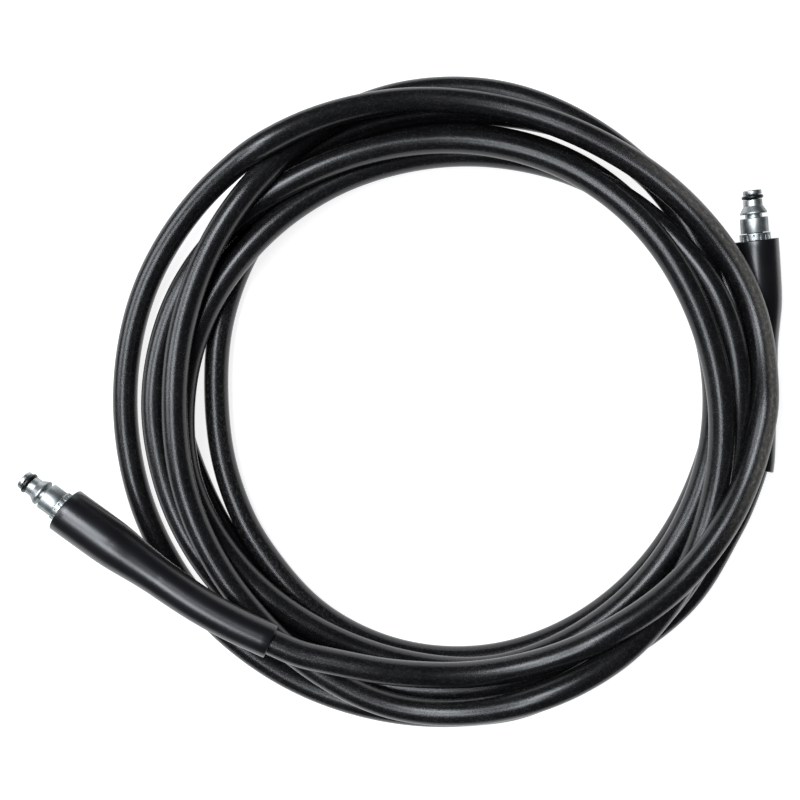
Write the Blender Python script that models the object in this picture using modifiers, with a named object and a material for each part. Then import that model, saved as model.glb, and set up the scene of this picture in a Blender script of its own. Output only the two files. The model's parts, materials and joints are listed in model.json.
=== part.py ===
"""High-pressure hose: a rubber hose laid down in a loose coil, with a push-in coupling at each end.

Sizes are in millimetres and become metres through MM where a mesh or a curve is made.
The coil lies flat on z = 0, and the origin is under the middle of everything.
"""
import math

import bmesh
import bpy
from mathutils import Matrix, Vector

MM = 0.001

# Gap between pieces that touch
CLEARANCE = 0.3

# Edges sharper than this stay sharp where a round piece is shaded smooth
SHARP_ANGLE = math.radians(35.0)

# Hose and its coil
HOSE_OD = 13.0
TURN_PRESS = 0.4
COIL_CENTRE = (19.2, 0.0)
COIL_FIRST_TURN_RADIUS = 128.0
TURNS_ACROSS = 3
TURN_SIDES = 12
COIL_STEPS = 60

# Coupling plug, measured along its axis from the tip
WATERWAY_D = 4.0
TIP_D = 9.3
TIP_CHAMFER = 0.4
TIP_LAND_LENGTH = 2.2
O_RING_SECTION_D = 2.2
O_RING_OD = 10.9
O_RING_SIDES = 8
NECK_D = 9.5
NECK_END = 8.2
CONE_END = 11.5
CONE_RIM_D = 13.4
CONE_RIM_WIDTH = 0.8
LOCK_GROOVE_D = 8.4
LOCK_GROOVE_WIDTH = 2.1
BODY_D = 14.0
BODY_CHAMFER = 0.3
BODY_END = 22.3
TAIL_D = 8.0
PLUG_STEPS = 24

# Crimp ferrule round the hose end
FERRULE_D = 15.4
FERRULE_LENGTH = 24.0
FERRULE_FRONT_WALL = 2.2
CRIMP_NOTCHES = 8
CRIMP_NOTCH_WIDTH = 1.5
CRIMP_NOTCH_DEPTH = 0.6
CRIMP_NOTCH_LENGTH = 2.8
FERRULE_SHOWN = 3.6

# Rubber bend sleeve: (distance from its mouth, radius)
SLEEVE_LENGTH = 123.5
SLEEVE_HEAD_LENGTH = 33.0
SLEEVE_PROFILE = (
    (0.0, 11.0), (0.9, 11.6), (3.0, 11.7), (30.0, 11.6), (38.0, 11.0), (46.0, 9.75), (53.0, 8.95),
    (60.0, 8.75), (SLEEVE_LENGTH - 5.0, 8.6), (SLEEVE_LENGTH - 0.9, 8.4), (SLEEVE_LENGTH, 7.9))
SLEEVE_STATION_STEP = 10.0
SLEEVE_BEVEL_RESOLUTION = 10

# Stretches of hose between the coil and each sleeve, from the coil outwards. A point of the centre line is
# its bearing from the coil's centre in degrees, its distance outside the first turn, and its height.
LEAD_STEP = 26.0
LEAD_BEVEL_RESOLUTION = 4
ROUTE_A = (
    (322.00, 25.2, 28.4), (311.00, 20.6, 30.4), (299.55, 16.2, 35.0), (289.46, 13.1, 38.4),
    (279.35, 11.7, 40.8), (269.30, 11.1, 42.7), (259.29, 11.9, 44.0), (249.34, 15.1, 44.8),
    (239.41, 20.6, 44.9), (233.65, 22.8, 44.8), (225.75, 28.6, 44.6), (217.96, 35.9, 44.3),
    (207.68, 48.7, 43.7))
ROUTE_B = (
    (-74.93, 29.7, 6.9), (-64.96, 33.6, 6.9), (-53.98, 38.3, 6.9), (-44.95, 40.6, 6.9),
    (-34.99, 42.4, 7.0), (-24.98, 43.0, 7.3), (-14.99, 42.1, 8.2), (-12.20, 43.8, 8.7),
    (-3.12, 41.1, 8.9), (2.74, 41.3, 9.1), (9.98, 43.3, 9.9))

# Sleeve mouths: the mouth's centre, given as a route's points are, and the way the plug points out of it
MOUTH_A = (195.89, 73.6, 43.0)
POINTING_A = (-0.811, 0.585, -0.015)
MOUTH_B = (27.44, 56.7, 16.6)
POINTING_B = (-0.119, 0.984, 0.134)

HOSE_R = HOSE_OD / 2
PLUG_SHOWN = BODY_END + CLEARANCE + FERRULE_SHOWN


def clear_scene():
    """Remove what a new file holds."""
    for old in list(bpy.data.objects):
        bpy.data.objects.remove(old, do_unlink=True)


def new_collection(name):
    """Make a collection under the scene's own."""
    made = bpy.data.collections.new(name)
    bpy.context.scene.collection.children.link(made)
    return made


def make_material(name, colour, roughness, metallic):
    """A plain Principled material."""
    made = bpy.data.materials.new(name)
    made.use_nodes = True
    shader = made.node_tree.nodes["Principled BSDF"]
    shader.inputs["Base Color"].default_value = (*colour, 1.0)
    shader.inputs["Roughness"].default_value = roughness
    shader.inputs["Metallic"].default_value = metallic
    return made


def new_object(name, data, collection, material=None):
    """Link an object for some data, with its material."""
    made = bpy.data.objects.new(name, data)
    collection.objects.link(made)
    if material:
        data.materials.append(material)
    return made


def as_cutter(made):
    """Show a cutter as wire and keep it out of the render."""
    made.hide_render = True
    made.display_type = "WIRE"
    return made


def cut(target, cutter):
    """Take the cutter's shape out of the target."""
    boolean = target.modifiers.new("cut " + cutter.name, "BOOLEAN")
    boolean.operation = "DIFFERENCE"
    boolean.solver = "EXACT"
    boolean.object = cutter


def turned(name, profile, steps, collection, material):
    """A closed profile of (radius, height) points, turned about Z. It runs down its outer side."""
    mesh = bpy.data.meshes.new(name)
    points = [(radius * MM, 0.0, height * MM) for radius, height in profile]
    count = len(points)
    mesh.from_pydata(points, [(i, (i + 1) % count) for i in range(count)], [])
    made = new_object(name, mesh, collection)
    screw = made.modifiers.new("turn", "SCREW")
    screw.steps = screw.render_steps = steps
    screw.use_merge_vertices = True
    screw.merge_threshold = 0.0001
    return made_mesh(made, collection, material)


def curve_tube(name, points, radii, bevel_resolution, collection, material=None):
    """A capped tube through points, with one radius for each point."""
    curve = bpy.data.curves.new(name, "CURVE")
    curve.dimensions = "3D"
    curve.bevel_depth = MM
    curve.bevel_resolution = bevel_resolution
    curve.use_fill_caps = True
    spline = curve.splines.new("POLY")
    spline.points.add(len(points) - 1)
    for knot, point, radius in zip(spline.points, points, radii):
        knot.co = (*(point * MM), 1.0)
        knot.radius = radius
    return new_object(name, curve, collection, material)


def made_mesh(source, collection, material=None):
    """Replace an object by the closed mesh that its curve or modifiers make, shaded smooth."""
    graph = bpy.context.evaluated_depsgraph_get()
    mesh = bpy.data.meshes.new_from_object(source.evaluated_get(graph))
    name = source.name
    placed = source.matrix_world.copy()
    bpy.data.objects.remove(source, do_unlink=True)
    mesh.materials.clear()
    made = new_object(name, mesh, collection, material)
    made.matrix_world = placed
    weld_caps(mesh)
    mesh.shade_smooth()
    mesh.set_sharp_from_angle(angle=SHARP_ANGLE)
    return made


def weld_caps(mesh):
    """Weld a tube's loose caps to its wall."""
    shape = bmesh.new()
    shape.from_mesh(mesh)
    bmesh.ops.remove_doubles(shape, verts=shape.verts, dist=0.00001)
    shape.to_mesh(mesh)
    shape.free()


def smooth_route(points, last_direction, steps=24):
    """A fine smooth line through the points, which ends along last_direction."""
    count = len(points)
    tangents = []
    for i in range(count):
        before, after = points[max(i - 1, 0)], points[min(i + 1, count - 1)]
        tangents.append((after - before) / (2 if 0 < i < count - 1 else 1))
    tangents[-1] = last_direction * (points[-1] - points[-2]).length
    line = [points[0]]
    for i in range(count - 1):
        for step in range(1, steps + 1):
            t = step / steps
            line.append(points[i] * (2 * t**3 - 3 * t**2 + 1) + tangents[i] * (t**3 - 2 * t**2 + t)
                        + points[i + 1] * (3 * t**2 - 2 * t**3) + tangents[i + 1] * (t**3 - t**2))
    return line


def line_length(line):
    """Length along a line of points."""
    return sum((b - a).length for a, b in zip(line, line[1:]))


def point_along(line, distance):
    """The point at a distance along a line of points."""
    for a, b in zip(line, line[1:]):
        step = (b - a).length
        if distance <= step:
            return a.lerp(b, distance / step)
        distance -= step
    return line[-1].copy()


def spaced(line, spacing):
    """Points at equal distances along a line, about spacing apart, with both its ends."""
    parts = max(1, round(line_length(line) / spacing))
    return [point_along(line, line_length(line) * i / parts) for i in range(parts)] + [line[-1]]


def beside_coil(bearing, outside, height):
    """A point given by its bearing from the coil's centre and its distance outside the first turn."""
    radius = COIL_FIRST_TURN_RADIUS + outside
    angle = math.radians(bearing)
    x, y = COIL_CENTRE
    return Vector((x + radius * math.cos(angle), y + radius * math.sin(angle), height))


class HoseEnd:
    """Where one end of the hose runs: its centre line, its sleeve's mouth and its plug's axis."""

    def __init__(self, route, mouth, pointing):
        self.mouth = beside_coil(*mouth)
        self.pointing = Vector(pointing).normalized()
        head_start = self.mouth - self.pointing * SLEEVE_HEAD_LENGTH
        self.curved = smooth_route([*(beside_coil(*point) for point in route), head_start], self.pointing)
        hose_end = PLUG_SHOWN - (BODY_END + 2 * CLEARANCE + FERRULE_FRONT_WALL)
        self.tip = self.mouth + self.pointing * PLUG_SHOWN
        self.hose = spaced(self.curved, LEAD_STEP) + [self.mouth + self.pointing * hose_end]

    def from_mouth(self):
        """The centre line from the sleeve's mouth back to the coil."""
        return [self.mouth, *reversed(self.curved)]


def turn_rows():
    """Centres of the coil's turns as (radius, height): the floor, middle and top rows.

    Each row lies in the hollows of the one below, half a turn further out, and the middle one is a turn short.
    """
    pitch = HOSE_OD - TURN_PRESS
    rise = pitch * math.sin(math.radians(60))
    rows = []
    for row, turns in enumerate((TURNS_ACROSS, TURNS_ACROSS - 1, TURNS_ACROSS)):
        start = COIL_FIRST_TURN_RADIUS + row * pitch / 2
        rows.append([Vector((start + i * pitch, HOSE_R + row * rise)) for i in range(turns)])
    return rows


def coil_outline():
    """The coil's section: round turns side by side, from the top row down the outer side and back."""
    floor, middle, top = turn_rows()
    ring = [*top, top[-2], middle[-1], *reversed(floor), middle[0]]
    facet = 2 * math.pi / TURN_SIDES
    corner_r = HOSE_R / math.cos(facet / 2)
    outline = []
    for i, centre in enumerate(ring):
        enter = valley(ring[i - 1], centre, corner_r)
        leave = valley(centre, ring[(i + 1) % len(ring)], corner_r)
        first = math.atan2(*(enter - centre).yx)
        last = math.atan2(*(leave - centre).yx)
        if last > first:
            last -= 2 * math.pi
        outline.append(enter)
        corner = math.ceil(first / facet - 0.5) - 0.5
        while corner * facet > last:
            if corner * facet < first:
                angle = corner * facet
                outline.append(centre + corner_r * Vector((math.cos(angle), math.sin(angle))))
            corner -= 1
    return [tuple(point) for point in outline]


def valley(a, b, corner_r):
    """Where two neighbouring turns meet, on the outer side of the way from a to b."""
    half = (b - a) / 2
    height = math.sqrt(corner_r**2 - half.length_squared)
    return a + half + Vector((-half.y, half.x)).normalized() * height


def make_coil(parts, rubber, clearances):
    """The coiled part of the hose as one turned solid, with room for the two ends that leave it."""
    coil = turned("hose_coil", coil_outline(), COIL_STEPS, parts, rubber)
    coil.location = (COIL_CENTRE[0] * MM, COIL_CENTRE[1] * MM, 0.0)
    for clearance in clearances:
        cut(coil, clearance)


def make_lead(name, end, parts, rubber):
    """The hose from the coil to the ferrule."""
    radii = [HOSE_R] * len(end.hose)
    curve_tube(name, end.hose, radii, LEAD_BEVEL_RESOLUTION, parts, rubber)


def make_clearance(name, end, cutters):
    """A cutter along the same centre line as the hose, wider by the clearance."""
    first, second = end.hose[0], end.hose[1]
    start = first + (first - second).normalized() * CLEARANCE
    points = [start, *end.hose[1:-1], end.mouth + end.pointing * CLEARANCE * 4]
    radii = [HOSE_R + CLEARANCE] * len(points)
    tube = curve_tube(name, points, radii, LEAD_BEVEL_RESOLUTION, cutters)
    return as_cutter(made_mesh(tube, cutters))


def profile_radius(distance):
    """The sleeve's outer radius at a distance from its mouth."""
    for (d0, r0), (d1, r1) in zip(SLEEVE_PROFILE, SLEEVE_PROFILE[1:]):
        if distance <= d1:
            return r0 + (r1 - r0) * (distance - d0) / (d1 - d0)
    return SLEEVE_PROFILE[-1][1]


def sleeve_stations():
    """Distances from the mouth where the sleeve's section is set."""
    stations = {distance for distance, _ in SLEEVE_PROFILE}
    for i in range(1, int(SLEEVE_LENGTH / SLEEVE_STATION_STEP)):
        extra = i * SLEEVE_STATION_STEP
        if min(abs(extra - station) for station in stations) > SLEEVE_STATION_STEP / 3:
            stations.add(extra)
    return sorted(stations)


def make_sleeve(name, end, parts, cutters, rubber, clearance):
    """The moulded rubber sleeve that keeps the hose from kinking behind its coupling."""
    line = end.from_mouth()
    stations = sleeve_stations()
    points = [point_along(line, distance) for distance in stations]
    radii = [profile_radius(distance) for distance in stations]
    outside = curve_tube(name, points, radii, SLEEVE_BEVEL_RESOLUTION, parts)
    sleeve = made_mesh(outside, parts, rubber)
    cut(sleeve, clearance)
    cut(sleeve, ferrule_socket(name + "_socket", end, cutters))
    return sleeve


def ferrule_socket(name, end, cutters):
    """A cutter for the sleeve's mouth, which seats on the ferrule."""
    depth = FERRULE_LENGTH - FERRULE_SHOWN + CLEARANCE
    overrun = FERRULE_SHOWN
    bpy.ops.mesh.primitive_cylinder_add(
        vertices=PLUG_STEPS, radius=(FERRULE_D / 2 + CLEARANCE) * MM, depth=(depth + overrun) * MM)
    socket = bpy.context.object
    socket.name = name
    socket.location = (end.mouth + end.pointing * (overrun - depth) / 2) * MM
    socket.rotation_mode = "QUATERNION"
    socket.rotation_quaternion = end.pointing.to_track_quat("Z", "Y")
    for home in list(socket.users_collection):
        home.objects.unlink(socket)
    cutters.objects.link(socket)
    return as_cutter(socket)


def plug_profile():
    """The plug's section as (radius, height), tip at height 0, down the outer side and up the bore."""
    groove_start = TIP_LAND_LENGTH
    groove_end = groove_start + O_RING_SECTION_D + 2 * CLEARANCE
    groove_r = O_RING_OD / 2 - O_RING_SECTION_D - CLEARANCE
    rim_end = CONE_END + CONE_RIM_WIDTH
    body_start = rim_end + LOCK_GROOVE_WIDTH
    tail_end = BODY_END + CLEARANCE + FERRULE_FRONT_WALL
    bore_r = WATERWAY_D / 2
    outside = (
        (bore_r, 0.0), (TIP_D / 2 - TIP_CHAMFER, 0.0), (TIP_D / 2, TIP_CHAMFER),
        (TIP_D / 2, groove_start), (groove_r, groove_start), (groove_r, groove_end),
        (NECK_D / 2, groove_end), (NECK_D / 2, NECK_END),
        (CONE_RIM_D / 2, CONE_END), (CONE_RIM_D / 2, rim_end),
        (LOCK_GROOVE_D / 2, rim_end), (LOCK_GROOVE_D / 2, body_start),
        (BODY_D / 2 - BODY_CHAMFER, body_start), (BODY_D / 2, body_start + BODY_CHAMFER),
        (BODY_D / 2, BODY_END), (TAIL_D / 2, BODY_END), (TAIL_D / 2, tail_end), (bore_r, tail_end))
    return [(radius, -distance) for radius, distance in outside]


def ferrule_profile():
    """The ferrule's section, front face at height 0: a small front hole and a wide bore behind it."""
    front_hole_r = TAIL_D / 2 + CLEARANCE
    bore_r = HOSE_R + CLEARANCE
    return [(front_hole_r, 0.0), (FERRULE_D / 2, 0.0), (FERRULE_D / 2, -FERRULE_LENGTH),
            (bore_r, -FERRULE_LENGTH), (bore_r, -FERRULE_FRONT_WALL), (front_hole_r, -FERRULE_FRONT_WALL)]


def crimp_notch_cutter(name, cutters):
    """One cutter with a bar for each notch that the crimping jaws leave round the ferrule's front."""
    mesh = bpy.data.meshes.new(name)
    shape = bmesh.new()
    depth = 2 * CRIMP_NOTCH_DEPTH
    height = 2 * CRIMP_NOTCH_LENGTH
    for i in range(CRIMP_NOTCHES):
        bar = bmesh.ops.create_cube(shape, size=1.0)["verts"]
        bmesh.ops.scale(shape, verts=bar, vec=(depth * MM, CRIMP_NOTCH_WIDTH * MM, height * MM))
        bmesh.ops.translate(shape, verts=bar, vec=(FERRULE_D / 2 * MM, 0.0, 0.0))
        turn = Matrix.Rotation(2 * math.pi * (i + 0.5) / CRIMP_NOTCHES, 3, "Z")
        bmesh.ops.rotate(shape, verts=bar, cent=(0.0, 0.0, 0.0), matrix=turn)
    shape.to_mesh(mesh)
    shape.free()
    return as_cutter(new_object(name, mesh, cutters))


def make_o_ring(name, parts, rubber):
    """The seal in the plug's front groove."""
    bpy.ops.mesh.primitive_torus_add(
        major_radius=(O_RING_OD - O_RING_SECTION_D) / 2 * MM, minor_radius=O_RING_SECTION_D / 2 * MM,
        major_segments=PLUG_STEPS, minor_segments=O_RING_SIDES)
    ring = bpy.context.object
    ring.name = name
    ring.data.materials.append(rubber)
    ring.data.shade_smooth()
    for home in list(ring.users_collection):
        home.objects.unlink(ring)
    parts.objects.link(ring)
    return ring


def make_coupling(letter, end, parts, cutters, steel, seal_rubber):
    """Plug, seal and crimp ferrule on one axis, parented to an empty at the plug's tip."""
    axis = new_object("coupling_axis_" + letter, None, parts)
    axis.location = end.tip * MM
    axis.rotation_mode = "QUATERNION"
    axis.rotation_quaternion = end.pointing.to_track_quat("Z", "Y")
    plug = turned("plug_" + letter, plug_profile(), PLUG_STEPS, parts, steel)
    seal = make_o_ring("o_ring_" + letter, parts, seal_rubber)
    seal.location.z = -(TIP_LAND_LENGTH + CLEARANCE + O_RING_SECTION_D / 2) * MM
    ferrule = turned("crimp_ferrule_" + letter, ferrule_profile(), PLUG_STEPS, parts, steel)
    ferrule.location.z = -(BODY_END + CLEARANCE) * MM
    notches = crimp_notch_cutter("crimp_notches_" + letter, cutters)
    notches.location.z = ferrule.location.z
    cut(ferrule, notches)
    for piece in (plug, seal, ferrule, notches):
        piece.parent = axis


def main():
    """The hose with its coil, and both its ends from the coil out to the plugs' tips."""
    clear_scene()
    parts = new_collection("High-pressure hose")
    cutters = new_collection("Cutters")
    hose_rubber = make_material("hose rubber", (0.022, 0.022, 0.024), 0.42, 0.0)
    sleeve_rubber = make_material("sleeve rubber", (0.012, 0.012, 0.014), 0.32, 0.0)
    seal_rubber = make_material("seal rubber", (0.008, 0.008, 0.008), 0.35, 0.0)
    steel = make_material("zinc plated steel", (0.62, 0.64, 0.64), 0.28, 1.0)
    ends = {"a": HoseEnd(ROUTE_A, MOUTH_A, POINTING_A), "b": HoseEnd(ROUTE_B, MOUTH_B, POINTING_B)}
    clearances = []
    for letter, end in ends.items():
        clearance = make_clearance("hose_clearance_" + letter, end, cutters)
        clearances.append(clearance)
        make_lead("hose_lead_" + letter, end, parts, hose_rubber)
        make_sleeve("bend_sleeve_" + letter, end, parts, cutters, sleeve_rubber, clearance)
        make_coupling(letter, end, parts, cutters, steel, seal_rubber)
    make_coil(parts, hose_rubber, clearances)


main()
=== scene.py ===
"""High-pressure hose: a black rubber hose laid down in a loose coil, with a push-in coupling at each end."""
import json
import math

import bpy
import numpy as np
from mathutils import Matrix, Vector

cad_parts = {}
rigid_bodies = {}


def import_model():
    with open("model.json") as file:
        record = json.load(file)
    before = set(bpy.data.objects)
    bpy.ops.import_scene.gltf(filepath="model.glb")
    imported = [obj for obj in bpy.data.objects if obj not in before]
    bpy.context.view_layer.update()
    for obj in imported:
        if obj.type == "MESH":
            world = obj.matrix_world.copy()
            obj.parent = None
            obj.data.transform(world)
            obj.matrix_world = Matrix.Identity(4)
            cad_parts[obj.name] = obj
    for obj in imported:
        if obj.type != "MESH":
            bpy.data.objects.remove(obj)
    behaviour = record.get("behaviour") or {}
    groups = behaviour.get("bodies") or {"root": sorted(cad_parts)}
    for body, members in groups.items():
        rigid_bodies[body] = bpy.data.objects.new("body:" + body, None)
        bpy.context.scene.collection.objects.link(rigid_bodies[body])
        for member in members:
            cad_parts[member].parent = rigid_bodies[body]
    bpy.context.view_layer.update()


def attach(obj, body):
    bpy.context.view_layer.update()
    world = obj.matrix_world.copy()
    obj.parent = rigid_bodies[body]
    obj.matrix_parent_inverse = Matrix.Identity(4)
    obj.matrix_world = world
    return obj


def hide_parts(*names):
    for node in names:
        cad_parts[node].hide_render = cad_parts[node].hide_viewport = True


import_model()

# The camera looks straight down on the coil, as in the photograph. Its scale comes from the hose itself:
# HOSE_WIDTH_PX is how wide a strand that lies on the floor shows in the photograph.
PHOTO_SIZE_PX = 800
HOSE_D = 0.013
HOSE_WIDTH_PX = 23.9
CAMERA_X = -0.00615
CAMERA_HEIGHT = 0.5
PX_SIZE_AT_ONE_METRE = HOSE_D / HOSE_WIDTH_PX / (CAMERA_HEIGHT - HOSE_D / 2)

camera = bpy.data.objects.new("Camera", bpy.data.cameras.new("Camera"))
camera.location = (CAMERA_X, 0.0, CAMERA_HEIGHT)
camera.data.angle = 2 * math.atan(PX_SIZE_AT_ONE_METRE * PHOTO_SIZE_PX / 2)
bpy.context.scene.collection.objects.link(camera)
bpy.context.scene.camera = camera

# Hose: extruded black rubber over a braid, about six metres in one length. It was wound up by hand into six
# loose turns and dropped flat, so its strands cross, and each lies on the ones that came down before it.
# Each end runs straight into its moulded sleeve.
COIL_CENTRE_PX = (447.0, 400.0)
STATION_DEG = 20.0
FIRST_STATION_DEG = 240.0

# How far out each lap of the hose lies, in px from the coil's centre, every 20 degrees. A hidden stretch is
# a guess: it lies where the photograph shows other strands over it.
LAP_RADII_PX = (
    (294, 277.5, 276.5, 283, 294, 304),
    (312.5, 315.5, 306.5, 298, 296.5, 301.5, 309, 315.5, 320.5, 321.5, 322, 320.5, 316, 310, 304, 298,
     294, 290),
    (285.5, 282, 270, 259, 249.5, 245, 246.5, 251, 259.5, 268, 277, 276, 271.5, 272, 277.5, 276, 273.5, 273),
    (275, 274, 271, 269.5, 266.5, 264, 260, 252, 241, 234, 238.5, 249, 260, 263, 264, 263.5, 264.5, 268.5),
    (278.5, 287.5, 299, 304.5, 310, 308, 298, 286, 276.5, 273, 278, 285, 296, 309, 310.5, 306, 296.5, 284),
    (275.5, 269.5, 266.5, 263.5, 260, 259, 264, 277, 286, 288, 283, 280.5, 281, 285, 289, 293, 292, 286),
    (293, 299, 299, 300, 289, 284, 281, 272, 271, 268, 255.5, 252, 263.5, 275, 287, 301, 311.5, 314))

# The order in which the strands came down: from this bearing of this lap on, the hose lies in this layer
LAYERS = (
    (1, 180, 6.0), (2, 150, 3.6), (2, 262, 3.2), (3, 0, 3.0), (3, 60, 2.6), (3, 150, 2.4), (3, 227, 2.2),
    (4, 60, 1.8), (4, 140, 1.5), (4, 330, 1.3), (5, 40, 4.0), (6, 0, 3.4), (6, 70, 3.2), (6, 160, 2.8),
    (6, 320, 0.5), (7, 0, 0.3), (7, 180, 0.0))
END_A_LAYER = 7.0
END_B_LAYER = 0.1
LAYER_HEIGHT = 0.014

# The ends of the hose from the coil outwards, as the solids have them: the bearing of each point from the
# coil's centre, its distance outside the first turn's centre line, and its height
COIL_CENTRE = (0.0192, 0.0)
COIL_FIRST_TURN_RADIUS = 0.128
ROUTE_A = (
    (239.41, 0.0206, 0.0449), (233.65, 0.0228, 0.0448), (225.75, 0.0286, 0.0446), (217.96, 0.0359, 0.0443),
    (207.68, 0.0487, 0.0437))
MOUTH_A = (195.89, 0.0736, 0.0430)
POINTING_A = (-0.811, 0.585, -0.015)
ROUTE_B = (
    (-14.99, 0.0421, 0.0082), (-12.20, 0.0438, 0.0087), (-3.12, 0.0411, 0.0089), (2.74, 0.0413, 0.0091),
    (9.98, 0.0433, 0.0099))
MOUTH_B = (27.44, 0.0567, 0.0166)
POINTING_B = (-0.119, 0.984, 0.134)

# Behind sleeve A, the first points of the coil are still held level by the sleeve
LEVEL_POINTS = 5
LEVEL_HEIGHT = 0.0447

# Each sleeve from its mouth to its tail: distance and radius
SLEEVE_LENGTH = 0.1235
SLEEVE_HEAD_LENGTH = 0.033
SLEEVE_PROFILE = (
    (0.0, 0.0110), (0.0009, 0.0116), (0.0030, 0.0117), (0.0260, 0.0116), (0.0340, 0.01125),
    (0.0430, 0.0104), (0.0520, 0.0097), (0.0620, 0.0093), (0.0900, 0.0089), (0.1185, 0.0086),
    (0.1226, 0.0084), (0.1235, 0.0079))

# How the hose settles. In every round each point sinks a little, its height is drawn towards its
# neighbours', its place in plan is drawn back to the traced one, and strands that overlap are pushed apart.
# In the later rounds the hose is stiffer, so that no kink stays. Reaches are counted in points of the hose.
TRACE_STEPS = 40
HOSE_STEP = 0.0085
SETTLING_ROUNDS = 1000
SEARCH_EVERY = 20
SAME_STRAND_REACH = 5
SINKING = 0.0006
BENDING_PASSES = 2
BENDING = 0.11
STIFF_FROM = 0.6
STIFFNESS = 0.25
STIFF_REACH = 3
PLAN_FREEDOM = 0.982
PLAN_REACH = 6
CONTACT_PASSES = 3
UPPER_STRAND_GIVES = 0.4
SWAPPED_PAIR_GIVES = 0.2
SWAPPED_PAIR_STEP = 0.0015
LEAST_DISTANCE = 0.001

# The finished tube
HOSE_END_IN_FERRULE = 0.0014
LINE_STEPS = 4
LINE_EASINGS = 2
LINE_REACH = 5
HOSE_FINE_STEP = 0.003
HOSE_SIDES = 32

# Rubber colours, and where dust lies on it: from and to in metres along the hose, from and to in metres
# round it from its outer side, and how much of it is even and how much patchy
DEEP_BLACK = (0.0025, 0.0028, 0.0035, 1)
WORN_BLACK = (0.0125, 0.0125, 0.0130, 1)
DUST_COLOUR = (0.27, 0.252, 0.225, 1)
THIN_DUST = 0.06
DUSTY = ((0.36, 0.62, -0.003, 0.0120, 0.28, 0.55), (2.68, 3.0, 0.003, 0.017, 0.0, 0.1))
DUST_FADE_ALONG = 0.06
DUST_FADE_ROUND = 0.003


def beside_coil(bearing, outside, height):
    """A point given by its bearing from the coil's centre and its distance outside the first turn."""
    radius = COIL_FIRST_TURN_RADIUS + outside
    angle = math.radians(bearing)
    x = COIL_CENTRE[0] + radius * math.cos(angle)
    y = COIL_CENTRE[1] + radius * math.sin(angle)
    return np.array((x, y, height))


def seen_at(px, height):
    """Where a point at a height lies in plan, if it shows at px from the middle of the photograph."""
    return px * (PX_SIZE_AT_ONE_METRE * (CAMERA_HEIGHT - height)) + (CAMERA_X, 0.0)


def smooth_line(points, last_direction=None, steps=24):
    """A fine smooth line through the points, which ends along last_direction if one is given."""
    points = np.array(points)
    tangents = np.gradient(points, axis=0)
    if last_direction is not None:
        tangents[-1] = last_direction * np.linalg.norm(points[-1] - points[-2])
    t = np.linspace(0.0, 1.0, steps, endpoint=False)[:, None]
    near_first = 2 * t**3 - 3 * t**2 + 1
    leaving = t**3 - 2 * t**2 + t
    near_second = 3 * t**2 - 2 * t**3
    arriving = t**3 - t**2
    line = [
        a * near_first + va * leaving + b * near_second + vb * arriving
        for a, b, va, vb in zip(points, points[1:], tangents, tangents[1:])]
    return np.vstack([*line, points[-1:]])


def distances(line):
    """Distance of each point of a line from its start."""
    return np.concatenate([[0.0], np.cumsum(np.linalg.norm(np.diff(line, axis=0), axis=1))])


def spaced(line, spacing):
    """Points at equal distances along a line, about spacing apart."""
    along = distances(line)
    even = np.linspace(0.0, along[-1], round(along[-1] / spacing) + 1)
    return np.stack([np.interp(even, along, line[:, axis]) for axis in range(3)], axis=1)


def sleeve_line(route, mouth, pointing):
    """The centre line of one hose end, from the coil to its sleeve's mouth, and its direction there."""
    direction = np.array(pointing) / np.linalg.norm(pointing)
    end = beside_coil(*mouth)
    through = [beside_coil(*point) for point in route]
    line = smooth_line([*through, end - direction * SLEEVE_HEAD_LENGTH], direction)
    return np.vstack([line, end]), direction


def end_radii(line_from_mouth):
    """Radius of the hose or of its sleeve along one end, from the mouth inwards."""
    along = distances(line_from_mouth)
    sleeve = np.interp(along, *np.array(SLEEVE_PROFILE).T)
    return np.where(along < SLEEVE_LENGTH, sleeve, HOSE_D / 2)


def eased(values, reach):
    """Values along the hose, each averaged with its neighbours out to reach on both sides."""
    weights = np.hanning(2 * reach + 3)[1:-1]
    padded = np.pad(values, ((reach, reach), (0, 0)), mode="edge")
    return np.stack([np.convolve(column, weights / weights.sum(), "valid") for column in padded.T], axis=1)


def straightened(z):
    """Heights along the hose after its bending stiffness has drawn each towards its neighbours'."""
    bend = np.zeros(len(z))
    bend[2:-2] = 4 * (z[1:-3] + z[3:-1]) - 6 * z[2:-2] - z[:-4] - z[4:]
    return z + BENDING * bend


def pushes(points, radii, layers, a, b):
    """How far each point moves so that the pairs a, b that overlap come apart, the higher layer upwards."""
    gap = points[a] - points[b]
    distance = np.linalg.norm(gap, axis=1)
    touching = radii[a] + radii[b]
    hit = distance < touching
    a, b, gap, distance, touching = a[hit], b[hit], gap[hit], distance[hit], touching[hit]
    over = np.sign(layers[a] - layers[b])
    push = 0.5 * ((touching - distance) / np.maximum(distance, LEAST_DISTANCE))[:, None] * gap
    above = np.sqrt(np.maximum(touching**2 - (gap[:, :2]**2).sum(1), 0.0)) * over
    swapped = gap[:, 2] * over < 0
    climb = SWAPPED_PAIR_GIVES * (above - gap[:, 2])[swapped]
    push[swapped, 2] = np.clip(climb, -SWAPPED_PAIR_STEP, SWAPPED_PAIR_STEP)
    share = 0.5 + np.array((0.0, 0.0, UPPER_STRAND_GIVES)) * over[:, None]
    total = np.zeros_like(points)
    count = np.zeros(len(points))
    for moved, move in ((a, push * share), (b, -push * (1 - share))):
        np.add.at(total, moved, move)
        np.add.at(count, moved, 1)
    return total / np.maximum(1.0, count / 2)[:, None]


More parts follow.
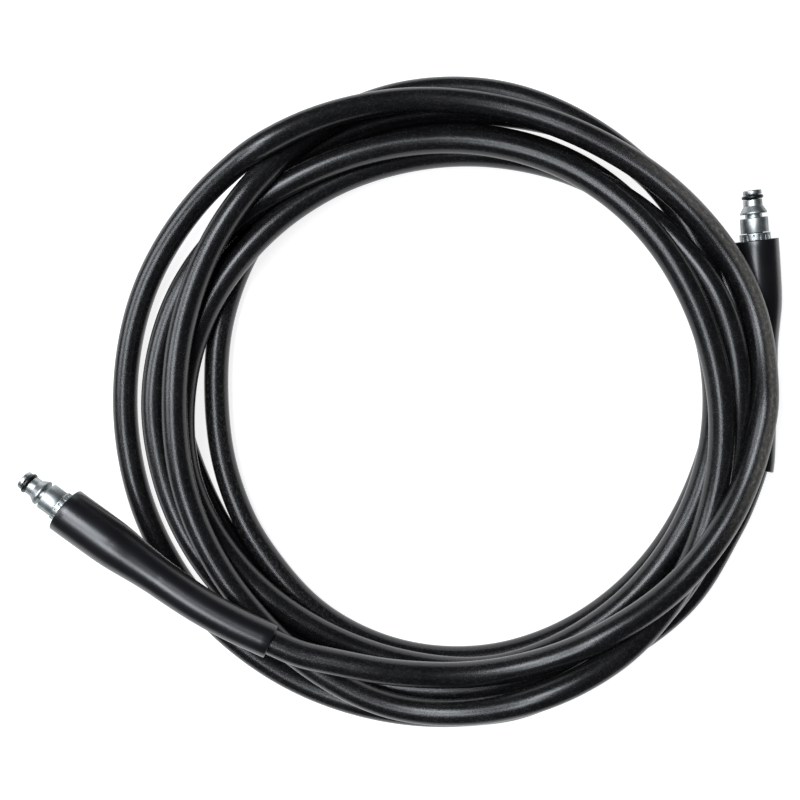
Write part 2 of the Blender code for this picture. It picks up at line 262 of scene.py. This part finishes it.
def settled(points, radii, layers, plan_px, held):
    """Let strands sink until each rests on the floor or on what came down before it.

    plan_px is where each point shows in the photograph, from the middle of the picture. Points that are held
    keep their place.
    """
    first, second = np.triu_indices(len(points), SAME_STRAND_REACH)
    loose = ~held
    fixed = points[held]
    for i in range(SETTLING_ROUNDS):
        if i % SEARCH_EVERY == 0:
            apart = points[first, :2] - points[second, :2]
            near = (apart**2).sum(1) < (2 * HOSE_D)**2
            pairs = first[near], second[near]
        points[:, 2] -= SINKING * (1 - i / SETTLING_ROUNDS)
        for _ in range(BENDING_PASSES):
            points[:, 2] = straightened(points[:, 2])
        if i > STIFF_FROM * SETTLING_ROUNDS:
            points[:, 2:] += STIFFNESS * (eased(points[:, 2:], STIFF_REACH) - points[:, 2:])
        points[held] = fixed
        plan = np.where(held[:, None], points[:, :2], seen_at(plan_px, points[:, 2:]))
        points[:, :2] = plan + PLAN_FREEDOM * eased(points[:, :2] - plan, PLAN_REACH)
        for _ in range(CONTACT_PASSES):
            points[held] = fixed
            points[loose, 2] = np.maximum(points[loose, 2], radii[loose])
            points += pushes(points, radii, layers, *pairs)
    points[held] = fixed
    points[loose, 2] = np.maximum(points[loose, 2], radii[loose])
    return points


# The traced laps between the two sleeves, each strand still up in its layer
radii_px = np.concatenate([np.array(lap, float) for lap in LAP_RADII_PX])
bearings = FIRST_STATION_DEG + STATION_DEG * np.arange(len(radii_px))
angles = np.radians(bearings)
stations = np.stack([
    COIL_CENTRE_PX[0] - PHOTO_SIZE_PX / 2 + radii_px * np.cos(angles),
    PHOTO_SIZE_PX / 2 - COIL_CENTRE_PX[1] + radii_px * np.sin(angles), bearings], axis=1)
fine = smooth_line(stations, steps=TRACE_STEPS)
fine_along = distances(fine * (1.0, 1.0, 0.0))
even = np.linspace(0.0, fine_along[-1], round(fine_along[-1] * HOSE_D / HOSE_WIDTH_PX / HOSE_STEP) + 1)
traced = np.stack([np.interp(even, fine_along, fine[:, axis]) for axis in range(3)], axis=1)[1:]
traced_px = traced[:, :2]
layer_starts = [360 * (lap - 1) + bearing for lap, bearing, _ in LAYERS]
layer_values = np.array([layer for _, _, layer in LAYERS])
traced_layers = layer_values[np.searchsorted(layer_starts, traced[:, 2], side="right") - 1]
heights = HOSE_D / 2 + traced_layers[:, None] * LAYER_HEIGHT
turns = np.hstack([seen_at(traced_px, heights), heights])
turns[:LEVEL_POINTS, 2] = LEVEL_HEIGHT
turns[:LEVEL_POINTS, :2] = (
    traced_px[:LEVEL_POINTS] * PX_SIZE_AT_ONE_METRE * (CAMERA_HEIGHT - LEVEL_HEIGHT) + (CAMERA_X, 0.0))

# The whole hose as it is let down: end A, the laps and end B
line_a, pointing_a = sleeve_line(ROUTE_A, MOUTH_A, POINTING_A)
line_b, pointing_b = sleeve_line(ROUTE_B, MOUTH_B, POINTING_B)
end_a = spaced(line_a[::-1], HOSE_STEP)
end_b = spaced(line_b, HOSE_STEP)
path = np.vstack([end_a, turns, end_b])
held = np.ones(len(path), bool)
held[len(end_a) + LEVEL_POINTS:len(end_a) + len(turns)] = False
path_radii = np.concatenate([
    end_radii(end_a), np.full(len(turns), HOSE_D / 2), end_radii(end_b[::-1])[::-1]])
path_layers = np.concatenate([
    np.full(len(end_a), END_A_LAYER), traced_layers, np.full(len(end_b), END_B_LAYER)])
plan_px = np.vstack([np.zeros((len(end_a), 2)), traced_px, np.zeros((len(end_b), 2))])
path = settled(path, path_radii, path_layers, plan_px, held)

# The finished centre line, from one ferrule's inside to the other's
hose_line = np.vstack([
    path[0] + pointing_a * HOSE_END_IN_FERRULE, path, path[-1] + pointing_b * HOSE_END_IN_FERRULE])
hose_line = smooth_line(hose_line, steps=LINE_STEPS)
for _ in range(LINE_EASINGS):
    hose_line[1:-1] = eased(hose_line, LINE_REACH)[1:-1]
hose_line = spaced(hose_line, HOSE_FINE_STEP)


def across(line):
    """The directions to the side of a line and up from it, at each of its points."""
    along = np.gradient(line, axis=0)
    along /= np.linalg.norm(along, axis=1)[:, None]
    side = np.cross(along, (0.0, 0.0, 1.0))
    side /= np.linalg.norm(side, axis=1)[:, None]
    return side, np.cross(side, along)


def tube_mesh(name, line, radius, sides):
    """A capped tube along a line, with its UV in metres: along the line, and round the tube."""
    side, up = across(line)
    turn = np.radians(np.arange(sides) * 360.0 / sides)[None, :, None]
    rings = line[:, None] + radius * (np.cos(turn) * side[:, None] + np.sin(turn) * up[:, None])
    count = len(line)
    along = distances(line)
    edge = 2 * math.pi * radius / sides
    faces = []
    uv = []
    for i in range(count - 1):
        for j in range(sides):
            k = (j + 1) % sides
            faces.append((i * sides + j, (i + 1) * sides + j, (i + 1) * sides + k, i * sides + k))
            low, high = edge * j, edge * (j + 1)
            uv += [along[i], low, along[i + 1], low, along[i + 1], high, along[i], high]
    faces.append(tuple(range(sides)))
    faces.append(tuple(range(count * sides - 1, (count - 1) * sides - 1, -1)))
    caps_uv = [0.0, 0.0] * sides * 2
    uv += caps_uv
    mesh = bpy.data.meshes.new(name)
    mesh.from_pydata(rings.reshape(-1, 3).tolist(), [], faces)
    mesh.uv_layers.new(name="UVMap").data.foreach_set("uv", uv)
    mesh.shade_smooth()
    return mesh


class Wire:
    """One socket in a material. Python's operators on it add Math nodes, and node() adds any other node."""

    def __init__(self, tree, socket=None):
        self.tree = tree
        self.socket = socket

    def node(self, kind, settings=None, inputs=None, output=0):
        """A new node: its settings are set first, then its inputs, each a value or a Wire."""
        made = self.tree.nodes.new(kind)
        for name, value in (settings or {}).items():
            setattr(made, name, value)
        for name, value in (inputs or {}).items():
            if isinstance(value, Wire):
                self.tree.links.new(value.socket, made.inputs[name])
            else:
                made.inputs[name].default_value = value
        return Wire(self.tree, made.outputs[output])

    def math(self, operation, first, second):
        return self.node("ShaderNodeMath", {"operation": operation}, {0: first, 1: second})

    def __add__(self, other):
        return self.math("ADD", self, other)

    def __mul__(self, other):
        return self.math("MULTIPLY", self, other)

    def __sub__(self, other):
        return self.math("SUBTRACT", self, other)

    def __rsub__(self, other):
        return self.math("SUBTRACT", other, self)

    __radd__ = __add__
    __rmul__ = __mul__

    def step(self, low, high):
        """0 below low and 1 above high, with a smooth rise between."""
        return self.node("ShaderNodeMapRange", {"interpolation_type": "SMOOTHSTEP"},
                         {"Value": self, "From Min": low, "From Max": high})

    def band(self, low, high, fade):
        """1 between low and high, with a smooth fade to 0 just inside both."""
        return self.step(low, low + fade) * (1 - self.step(high - fade, high))

    def noise(self, scale, detail=2.0, roughness=0.5, stretch=(1.0, 1.0, 1.0)):
        """Noise over these coordinates, from 0 to 1."""
        coordinates = self.node("ShaderNodeMapping", inputs={"Vector": self, "Scale": stretch})
        return self.node("ShaderNodeTexNoise", inputs={
            "Vector": coordinates, "Scale": scale, "Detail": detail, "Roughness": roughness})

    def mixed(self, first, second):
        """A colour between two, by this value."""
        return self.node("ShaderNodeMix", {"data_type": "RGBA"}, {
            "Factor": self, 6: first, 7: second}, output=2)

    def bump(self, strength, distance):
        """The normals of a surface that is as high as this value says."""
        return self.node("ShaderNodeBump", inputs={
            "Strength": strength, "Distance": distance, "Height": self})


def finish(name, **constants):
    """A new Principled material: the material, its shader, and a Wire to start from."""
    made = bpy.data.materials.new(name)
    made.use_nodes = True
    shader = made.node_tree.nodes["Principled BSDF"]
    for socket, value in constants.items():
        shader.inputs[socket.replace("_", " ")].default_value = value
    return made, shader, Wire(made.node_tree)


def feed(shader, socket, wire):
    """Link a wire to one of a shader's inputs."""
    wire.tree.links.new(wire.socket, shader.inputs[socket])


def dress(piece, material):
    """Give a piece its only material."""
    piece.data.materials.clear()
    piece.data.materials.append(material)


hose = bpy.data.objects.new("Rubber_hose", tube_mesh("Rubber_hose", hose_line, HOSE_D / 2, HOSE_SIDES))
bpy.context.scene.collection.objects.link(hose)

rubber, rubber_shader, wire = finish("hose rubber")
place = wire.node("ShaderNodeTexCoord", output="Object")
skin = wire.node("ShaderNodeTexCoord", output="UV")
grain = skin.noise(scale=1400.0, detail=3.0, roughness=0.6)
drawn = skin.noise(scale=900.0, stretch=(0.03, 1.0, 1.0))
blotch = place.noise(scale=60.0, detail=4.0, roughness=0.65)
scuffs = skin.noise(scale=700.0, detail=5.0, roughness=0.75, stretch=(0.6, 1.0, 1.0)).step(0.45, 0.72)
along = skin.node("ShaderNodeSeparateXYZ", inputs={0: skin}, output=0)
around = skin.node("ShaderNodeSeparateXYZ", inputs={0: skin}, output=1)
dust = scuffs * THIN_DUST
for start, end, low, high, even_dust, patchy_dust in DUSTY:
    dusty = along.band(start, end, DUST_FADE_ALONG) * around.band(low, high, DUST_FADE_ROUND)
    dust = dust + dusty * (even_dust + patchy_dust * scuffs)
black = (0.6 * grain + 0.4 * blotch).step(0.40, 0.68).mixed(DEEP_BLACK, WORN_BLACK)
feed(rubber_shader, "Base Color", dust.mixed(black, DUST_COLOUR))
feed(rubber_shader, "Roughness", 0.19 + 0.06 * blotch + 0.08 * grain + 0.25 * dust)
feed(rubber_shader, "Normal", (grain + 0.6 * drawn).bump(strength=0.55, distance=0.00012))
dress(hose, rubber)
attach(hose, "root")
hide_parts("hose_coil", "hose_lead_a", "hose_lead_b")

# Bend sleeves: smooth black rubber, moulded over the hose behind each coupling so that it can't kink there.
# A thick head grips the ferrule, and a shoulder runs down to the thin tail that the hose comes out of.
SLEEVE_SIDES = 64
FERRULE_D = 0.0154
FERRULE_LENGTH = 0.024
FERRULE_SHOWN = 0.0036
CLEARANCE = 0.0003
SOCKET_DEPTH = FERRULE_LENGTH - FERRULE_SHOWN + CLEARANCE
LIP_ROUND = 0.0005
LIP_BEND = 0.3
SLEEVE_RINGS = 90
BORE_RINGS = 30
TAIL_FLARE = 0.0008
TAIL_FLARE_LENGTH = 0.0014
MOULD_SEAMS = (0.0305, 0.0590)
MOULD_SEAM_DEPTH = 0.00005
MOULD_SEAM_WIDTH = 0.0012
EDGE_ROUND = 0.00012
SLEEVE_SHARP_DEG = 50.0
SLEEVE_DARK = (0.005, 0.005, 0.0065, 1)
SLEEVE_LIGHT = (0.008, 0.008, 0.0095, 1)


def deselect():
    """Leave nothing selected."""
    for other in bpy.context.view_layer.objects:
        other.select_set(False)


def round_edges(edge, sharp_deg):
    """In edit mode, round every edge that is sharper than an angle."""
    bpy.ops.mesh.select_all(action="DESELECT")
    bpy.ops.mesh.edges_select_sharp(sharpness=math.radians(sharp_deg))
    bpy.ops.mesh.bevel(offset=edge, segments=2, affect="EDGES")


def turned(name, profile, sides, sharp_deg):
    """A round piece on the X axis, drawn out of a circle along a closed profile of (x, radius) points.

    Every edge that is sharper than an angle is rounded.
    """
    deselect()
    (x, r), *rest = profile
    bpy.ops.mesh.primitive_circle_add(
        vertices=sides, radius=r, location=(x, 0, 0), rotation=(0, math.pi / 2, 0))
    made = bpy.context.object
    made.name = made.data.name = name
    bpy.ops.object.transform_apply(location=True, rotation=True, scale=True)
    bpy.ops.object.mode_set(mode="EDIT")
    bpy.ops.mesh.select_all(action="SELECT")
    for next_x, next_r in rest:
        bpy.ops.mesh.extrude_region_move(TRANSFORM_OT_translate={"value": (next_x - x, 0, 0)})
        if next_r != r:
            bpy.ops.transform.resize(value=(1, next_r / r, next_r / r), center_override=(next_x, 0, 0))
        x, r = next_x, next_r
    bpy.ops.mesh.select_all(action="DESELECT")
    bpy.ops.mesh.select_non_manifold()
    bpy.ops.mesh.bridge_edge_loops()
    bpy.ops.mesh.select_all(action="SELECT")
    bpy.ops.mesh.normals_make_consistent(inside=False)
    round_edges(EDGE_ROUND, sharp_deg)
    bpy.ops.object.mode_set(mode="OBJECT")
    made.data.shade_smooth()
    return made


def laid_along(piece, line):
    """Move a piece's points from the X axis on to a line: X becomes the distance along it."""
    along = distances(line)
    points = np.array([vertex.co for vertex in piece.data.vertices])
    columns = [np.interp(points[:, 0], along, column) for column in np.hstack([line, *across(line)]).T]
    line_at, side_at, up_at = (np.stack(columns[i:i + 3], axis=1) for i in (0, 3, 6))
    moved = line_at + side_at * points[:, 1:2] + up_at * points[:, 2:3]
    piece.data.vertices.foreach_set("co", moved.ravel())
    piece.data.update()


def sleeve_outline():
    """The sleeve's section: from the mouth over the outside to the tail, and back through the bore."""
    outer = smooth_line(np.array([(d, r, 0.0) for d, r in SLEEVE_PROFILE[2:-2]]), steps=8)[:, :2]
    along = np.linspace(outer[0, 0], outer[-1, 0], SLEEVE_RINGS)
    radius = np.interp(along, *outer.T)
    for seam in MOULD_SEAMS:
        radius -= MOULD_SEAM_DEPTH * np.exp(-((along - seam) / MOULD_SEAM_WIDTH)**2)
    mouth_r, tail_r = SLEEVE_PROFILE[2][1], SLEEVE_PROFILE[-3][1]
    bore_r = HOSE_D / 2 + CLEARANCE
    socket_r = FERRULE_D / 2 + CLEARANCE
    bend = LIP_ROUND * LIP_BEND
    bore = np.linspace(SLEEVE_LENGTH - TAIL_FLARE_LENGTH, SOCKET_DEPTH, BORE_RINGS)
    return [
        (0.0, mouth_r - LIP_ROUND), (bend, mouth_r - bend), (LIP_ROUND, mouth_r),
        *zip(along[1:], radius[1:]),
        (SLEEVE_LENGTH - LIP_ROUND, tail_r), (SLEEVE_LENGTH - bend, tail_r - bend),
        (SLEEVE_LENGTH, tail_r - LIP_ROUND), (SLEEVE_LENGTH, bore_r + TAIL_FLARE),
        *((d, bore_r) for d in bore),
        (SOCKET_DEPTH, socket_r), (LIP_ROUND, socket_r), (0.0, socket_r + LIP_ROUND)]


sleeve_rubber, sleeve_shader, wire = finish("sleeve rubber", Specular_IOR_Level=0.7)
place = wire.node("ShaderNodeTexCoord", output="Object")
blotch = place.noise(scale=60.0, detail=3.0)
feed(sleeve_shader, "Base Color", blotch.step(0.3, 0.8).mixed(SLEEVE_DARK, SLEEVE_LIGHT))
feed(sleeve_shader, "Roughness", 0.26 + 0.08 * blotch)
feed(sleeve_shader, "Normal", place.noise(scale=1800.0).bump(strength=0.15, distance=0.00006))

for letter, line in (("a", line_a[::-1]), ("b", line_b[::-1])):
    sleeve = turned("Bend_sleeve_" + letter, sleeve_outline(), SLEEVE_SIDES, SLEEVE_SHARP_DEG)
    laid_along(sleeve, line)
    dress(sleeve, sleeve_rubber)
    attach(sleeve, "root")
    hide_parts("bend_sleeve_" + letter)

# Plugs: steel turned on a lathe and zinc plated, with a seal groove, a cone that opens the latch it is pushed
# into, a groove for that latch, and a bore right through for the water. A steel ferrule, pressed on to the
# hose, holds the plug's tail, and the seal is a rubber O-ring.
LATHE_SIDES = 96
WATERWAY_R = 0.002
TIP_R = 0.00465
TIP_CHAMFER = 0.0004
TIP_LAND_LENGTH = 0.0022
O_RING_SECTION_D = 0.0022
O_RING_R = 0.00545
O_RING_SECTION_SIDES = 32
NECK_R = 0.00475
NECK_END = 0.0082
CONE_END = 0.0115
CONE_RIM_R = 0.0067
CONE_RIM_WIDTH = 0.0008
LOCK_GROOVE_R = 0.0042
LOCK_GROOVE_WIDTH = 0.0021
BODY_R = 0.007
BODY_CHAMFER = 0.0003
BODY_END = 0.0223
TAIL_R = 0.004
FERRULE_FRONT_WALL = 0.0022
PLUG_SHOWN = BODY_END + CLEARANCE + FERRULE_SHOWN
CRIMP_START = 0.0009
CRIMP_END = 0.0046
CRIMP_DEPTH = 0.00045
CRIMP_SPACING = 6
CRIMP_WIDTH = 2
FLASH_HEIGHT = 0.00004
PLUG_SHARP_DEG = 25.0
NOTHING_SHARP_DEG = 120.0
CRIMP_SHARP_DEG = 35.0
STEEL_EDGE_TINT = (0.35, 0.37, 0.37, 1)
STEEL_DARK = (0.42, 0.45, 0.45, 1)
STEEL_LIGHT = (0.56, 0.59, 0.59, 1)
SEAL_DARK = (0.004, 0.004, 0.004, 1)
SEAL_LIGHT = (0.009, 0.009, 0.009, 1)


def plug_outline():
    """The plug's section: distance back from the tip, and radius."""
    groove_end = TIP_LAND_LENGTH + O_RING_SECTION_D + 2 * CLEARANCE
    groove_r = O_RING_R - O_RING_SECTION_D - CLEARANCE
    rim_end = CONE_END + CONE_RIM_WIDTH
    body_start = rim_end + LOCK_GROOVE_WIDTH
    tail_end = BODY_END + CLEARANCE + FERRULE_FRONT_WALL
    return [
        (0.0, WATERWAY_R + TIP_CHAMFER), (0.0, TIP_R - TIP_CHAMFER), (TIP_CHAMFER, TIP_R),
        (TIP_LAND_LENGTH, TIP_R), (TIP_LAND_LENGTH, groove_r), (groove_end, groove_r), (groove_end, NECK_R),
        (NECK_END, NECK_R), (CONE_END, CONE_RIM_R), (rim_end, CONE_RIM_R), (rim_end, LOCK_GROOVE_R),
        (body_start, LOCK_GROOVE_R),
        (body_start, BODY_R - BODY_CHAMFER), (body_start + BODY_CHAMFER, BODY_R), (BODY_END, BODY_R),
        (BODY_END, TAIL_R), (tail_end, TAIL_R), (tail_end, WATERWAY_R), (TIP_CHAMFER, WATERWAY_R)]


def ferrule_outline():
    """The ferrule's section: distance back from its front face, and radius."""
    front_hole_r = TAIL_R + CLEARANCE
    bore_r = HOSE_D / 2 + CLEARANCE
    r = FERRULE_D / 2
    return [
        (0.0, front_hole_r), (0.0, r), (CRIMP_START, r), (CRIMP_END, r), (FERRULE_LENGTH, r),
        (FERRULE_LENGTH, bore_r), (FERRULE_FRONT_WALL, bore_r), (FERRULE_FRONT_WALL, front_hole_r)]


def pressed_ferrule(name):
    """A ferrule with the marks that the jaws of the press leave round its front."""
    made = turned(name, ferrule_outline(), LATHE_SIDES, NOTHING_SHARP_DEG)
    middle = (CRIMP_START + CRIMP_END) / 2
    for face in made.data.polygons:
        x, y, z = face.center
        side = int(math.degrees(math.atan2(z, y)) % 360 * LATHE_SIDES / 360)
        outside = math.hypot(y, z) > FERRULE_D / 2 - EDGE_ROUND and abs(x - middle) < CRIMP_START
        face.select = outside and side % CRIMP_SPACING < CRIMP_WIDTH
    bpy.ops.object.mode_set(mode="EDIT")
    bpy.ops.mesh.extrude_region_shrink_fatten(TRANSFORM_OT_shrink_fatten={"value": -CRIMP_DEPTH})
    round_edges(EDGE_ROUND, CRIMP_SHARP_DEG)
    bpy.ops.object.mode_set(mode="OBJECT")
    return made


def moulded_ring(name):
    """An O-ring, with the thin line of flash that its mould leaves round the outside."""
    deselect()
    bpy.ops.mesh.primitive_torus_add(
        major_radius=O_RING_R - O_RING_SECTION_D / 2, minor_radius=O_RING_SECTION_D / 2,
        major_segments=LATHE_SIDES, minor_segments=O_RING_SECTION_SIDES, rotation=(0, math.pi / 2, 0))
    made = bpy.context.object
    made.name = made.data.name = name
    bpy.ops.object.transform_apply(location=True, rotation=True, scale=True)
    for vertex in made.data.vertices:
        vertex.select = math.hypot(vertex.co.y, vertex.co.z) > O_RING_R - FLASH_HEIGHT / 4
    bpy.ops.object.mode_set(mode="EDIT")
    bpy.ops.mesh.select_mode(type="VERT")
    grown = 1 + FLASH_HEIGHT / O_RING_R
    bpy.ops.transform.resize(value=(1, grown, grown), center_override=(0, 0, 0))
    bpy.ops.object.mode_set(mode="OBJECT")
    made.data.shade_smooth()
    return made


def set_on_axis(piece, tip, pointing, back):
    """Move a piece made along +X, with its front at the origin, so that it lies back from the plug's tip.

    The attribute lathe keeps where each point was on the lathe, for the turning marks.
    """
    lathe = piece.data.attributes.new("lathe", "FLOAT_VECTOR", "POINT")
    lathe.data.foreach_set("vector", [value for vertex in piece.data.vertices for value in vertex.co])
    turn = Vector(-pointing).to_track_quat("X", "Z").to_matrix().to_4x4()
    piece.data.transform(Matrix.Translation(Vector(tip - pointing * back)) @ turn)


steel, steel_shader, wire = finish("zinc plated steel", Metallic=1.0, Specular_Tint=STEEL_EDGE_TINT)
lathe = wire.node("ShaderNodeAttribute", {"attribute_name": "lathe"}, output=1)
marks = lathe.noise(scale=220.0, roughness=0.7, stretch=(14.0, 0.4, 0.4))
plating = lathe.noise(scale=260.0, detail=3.0)
feed(steel_shader, "Base Color", plating.step(0.3, 0.75).mixed(STEEL_DARK, STEEL_LIGHT))
feed(steel_shader, "Roughness", 0.33 + 0.10 * marks + 0.08 * plating)
feed(steel_shader, "Normal", marks.bump(strength=0.25, distance=0.00003))

seal_rubber, seal_shader, wire = finish("seal rubber")
place = wire.node("ShaderNodeTexCoord", output="Object")
feed(seal_shader, "Base Color", place.noise(scale=900.0).mixed(SEAL_DARK, SEAL_LIGHT))
feed(seal_shader, "Roughness", 0.25 + 0.15 * place.noise(scale=1500.0))

for letter, line, pointing in (("a", line_a, pointing_a), ("b", line_b, pointing_b)):
    tip = line[-1] + pointing * PLUG_SHOWN
    plug = turned("Plug_" + letter, plug_outline(), LATHE_SIDES, PLUG_SHARP_DEG)
    ferrule = pressed_ferrule("Crimp_ferrule_" + letter)
    seal = moulded_ring("O_ring_" + letter)
    set_on_axis(plug, tip, pointing, 0.0)
    set_on_axis(ferrule, tip, pointing, BODY_END + CLEARANCE)
    set_on_axis(seal, tip, pointing, TIP_LAND_LENGTH + CLEARANCE + O_RING_SECTION_D / 2)
    dress(plug, steel)
    dress(ferrule, steel)
    dress(seal, seal_rubber)
    for piece, node in ((plug, "plug_"), (ferrule, "crimp_ferrule_"), (seal, "o_ring_")):
        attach(piece, "root")
        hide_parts(node + letter)

# Floor: a plain white table that the coil lies on. It is only for the picture, and it glows a little, so
# that the coil's shadow stays pale.
FLOOR_SIZE = 3.0
FLOOR_COLOUR = (0.5, 0.5, 0.5, 1)
FLOOR_GLOW = 0.85
bpy.ops.mesh.primitive_plane_add(size=FLOOR_SIZE)
floor = bpy.context.object
floor.name = "Studio_floor"
white, _, _ = finish(
    "white table", Roughness=0.6, Base_Color=FLOOR_COLOUR, Emission_Color=(1.0, 1.0, 1.0, 1),
    Emission_Strength=FLOOR_GLOW)
floor.data.materials.append(white)

# Light: three square softboxes that face the coil's middle, each with its place, its side in metres and its
# power in watts, in a dim grey studio
SOFTBOXES = (
    ("Overhead softbox", (-0.38, 0.32, 1.1), 0.45, 9),
    ("Left softbox", (-0.95, 0.20, 0.70), 0.4, 4),
    ("Front left softbox", (-0.40, -0.22, 1.1), 0.35, 4.5))
SOFTBOX_COLOUR = (0.90, 0.94, 1.0)
STUDIO_COLOUR = (0.9, 0.95, 1.0, 1)
STUDIO_STRENGTH = 0.05
for name, at, side, power in SOFTBOXES:
    lamp = bpy.data.lights.new(name, "AREA")
    lamp.size = side
    lamp.energy = power
    lamp.color = SOFTBOX_COLOUR
    softbox = bpy.data.objects.new(name, lamp)
    softbox.location = at
    softbox.rotation_euler = (-Vector(at)).to_track_quat("-Z", "Y").to_euler()
    bpy.context.scene.collection.objects.link(softbox)
studio = bpy.data.worlds.new("Studio")
studio.use_nodes = True
background = studio.node_tree.nodes["Background"]
background.inputs["Color"].default_value = STUDIO_COLOUR
background.inputs["Strength"].default_value = STUDIO_STRENGTH
bpy.context.scene.world = studio
bpy.context.scene.view_settings.view_transform = "Standard"
